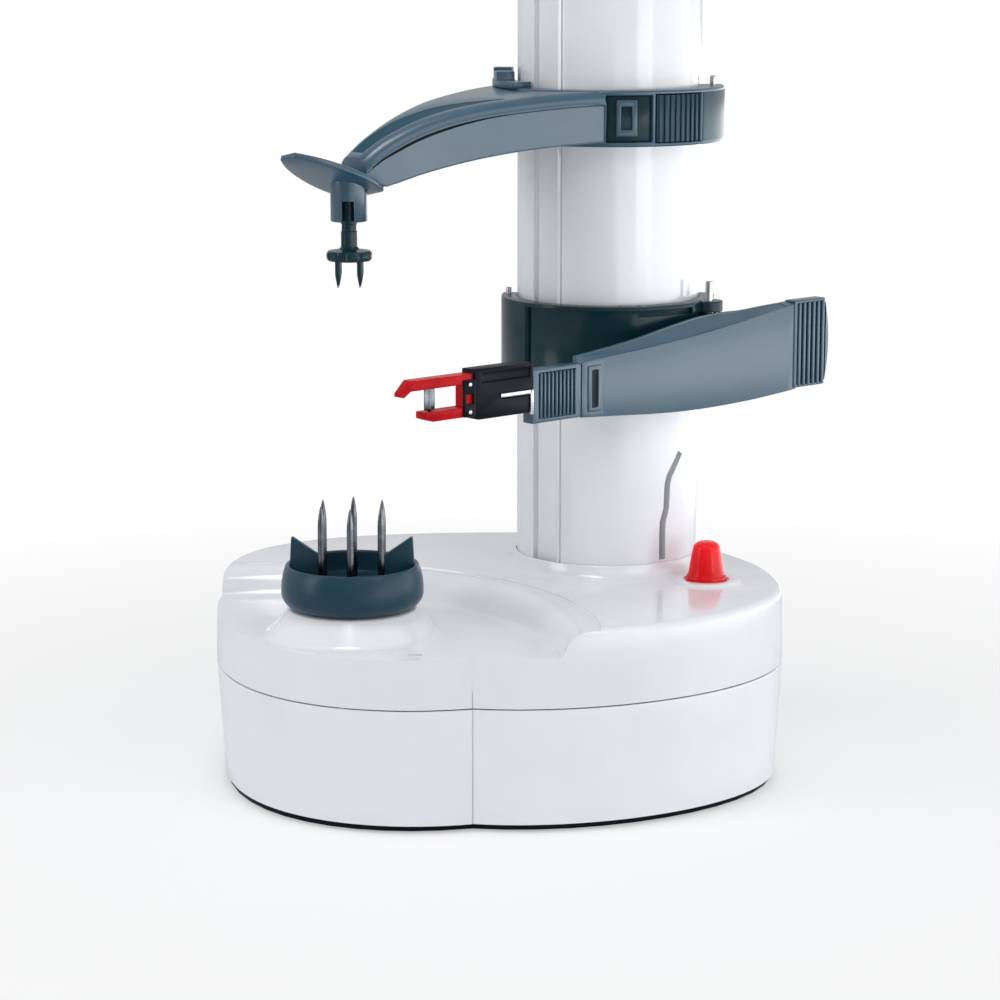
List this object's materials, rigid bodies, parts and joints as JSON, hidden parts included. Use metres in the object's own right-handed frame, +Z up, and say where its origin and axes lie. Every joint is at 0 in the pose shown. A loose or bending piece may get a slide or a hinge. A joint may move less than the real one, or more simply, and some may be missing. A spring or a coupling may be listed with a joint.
{
  "type": "electric peeler",
  "caption": "Countertop rotary peeler: motor base with spiked turntable, column with a sprung blade lever on a carriage, and a sliding upper arm with a free-turning spindle.",
  "frame": {"origin": "middle of the whole part's footprint, on the surface that its feet stand on", "axes": "+Z up along the column, X to the right of the front, Y to the back"},
  "size_m": [0.2306, 0.1828, 0.3],
  "materials": {
    "white_gloss": "gloss",
    "slate_plastic": "satin",
    "dark_slate_plastic": "satin",
    "black_plastic": "satin",
    "red_plastic": "gloss",
    "black_rubber": "matte",
    "steel": "brushed",
    "dark_steel": "polished",
    "nylon": "satin",
    "board": "satin"
  },
  "bodies": {
    "base": {"bottom_cover": "black_plastic", "foot_1": "black_rubber", "foot_2": "black_rubber", "foot_3": "black_rubber", "foot_4": "black_rubber", "lower_shell": "white_gloss", "upper_shell": "white_gloss", "turntable_bush": "nylon", "gear_plate": "steel", "circuit_board": "board", "power_inlet": "black_plastic", "start_switch": "black_plastic", "button_spring": "steel", "motor": "dark_steel", "idler_axle": "steel", "column": "white_gloss", "column_cap": "white_gloss"},
    "turntable": {"turntable_gear": "nylon", "turntable_shaft": "steel", "turntable_cup": "slate_plastic", "prong_1": "dark_steel", "prong_2": "dark_steel", "prong_3": "dark_steel", "prong_4": "dark_steel", "prong_5": "dark_steel", "prong_6": "dark_steel"},
    "idler": {"idler_gear": "nylon"},
    "motor_shaft": {"motor_pinion": "steel"},
    "screw": {"lead_screw": "steel", "screw_gear": "nylon"},
    "button": {"start_button": "red_plastic"},
    "carriage": {"carriage": "dark_slate_plastic", "carriage_yoke": "dark_slate_plastic", "carriage_nut": "nylon", "lever_pin": "steel", "yoke_pin": "steel", "lever_spring": "steel"},
    "lever": {"peel_lever": "slate_plastic", "blade_clamp": "slate_plastic", "blade_carrier": "black_plastic", "blade_fork": "red_plastic"},
    "blade": {"blade": "steel"},
    "upper_arm": {"upper_arm": "slate_plastic", "collar_yoke": "dark_slate_plastic", "collar_pin_left": "steel", "collar_pin_right": "steel", "thumb_tab": "slate_plastic"},
    "grip": {"release_grip": "dark_slate_plastic"},
    "spindle": {"top_spindle": "dark_slate_plastic"}
  },
  "joints": [
    {"name": "turntable_spin", "type": "hinge", "parent": "base", "child": "turntable", "pos_m": [-0.06242, -0.04208, 0.072], "axis": [0, 0, 1], "continuous": true},
    {"name": "idler_spin", "type": "hinge", "parent": "base", "child": "idler", "pos_m": [0.00078, -0.02148, 0.048], "axis": [0, 0, 1], "continuous": true},
    {"name": "motor_spin", "type": "hinge", "parent": "base", "child": "motor_shaft", "pos_m": [0.0205, -0.05856, 0.048], "axis": [0, 0, 1], "continuous": true},
    {"name": "screw_spin", "type": "hinge", "parent": "base", "child": "screw", "pos_m": [0.03068, 0.03442, 0.048], "axis": [0, 0, 1], "continuous": true},
    {"name": "button_press", "type": "slide", "parent": "base", "child": "button", "axis": [0, 0, -1], "range_m": [0, 0.0022], "stiffness_N_per_m": 300},
    {"name": "carriage_slide", "type": "slide", "parent": "base", "child": "carriage", "axis": [0, 0, 1], "range_m": [-0.044, 0.025]},
    {"name": "lever_swing", "type": "hinge", "parent": "carriage", "child": "lever", "pos_m": [0.06738, 0.01582, 0.155], "axis": [0, 0, 1], "range_deg": [-10, 20], "stiffness_Nm_per_rad": 0.12},
    {"name": "blade_swivel", "type": "hinge", "parent": "lever", "child": "blade", "pos_m": [-0.03381, -0.08049, 0.1533], "axis": [0, 0, 1], "range_deg": [-12, 12]},
    {"name": "arm_slide", "type": "slide", "parent": "base", "child": "upper_arm", "axis": [0, 0, 1], "range_m": [-0.025, 0.034]},
    {"name": "grip_press", "type": "slide", "parent": "upper_arm", "child": "grip", "axis": [-0.5807, 0.8141, 0], "range_m": [0, 0.0015], "stiffness_N_per_m": 400},
    {"name": "spindle_spin", "type": "hinge", "parent": "upper_arm", "child": "spindle", "pos_m": [-0.06242, -0.04208, 0.205], "axis": [0, 0, 1], "continuous": true}
  ],
  "couplings": [
    {"joint": "idler_spin", "follows": "turntable_spin", "ratio": -0.9375},
    {"joint": "screw_spin", "follows": "turntable_spin", "ratio": 1},
    {"joint": "motor_spin", "follows": "turntable_spin", "ratio": 3}
  ]
}
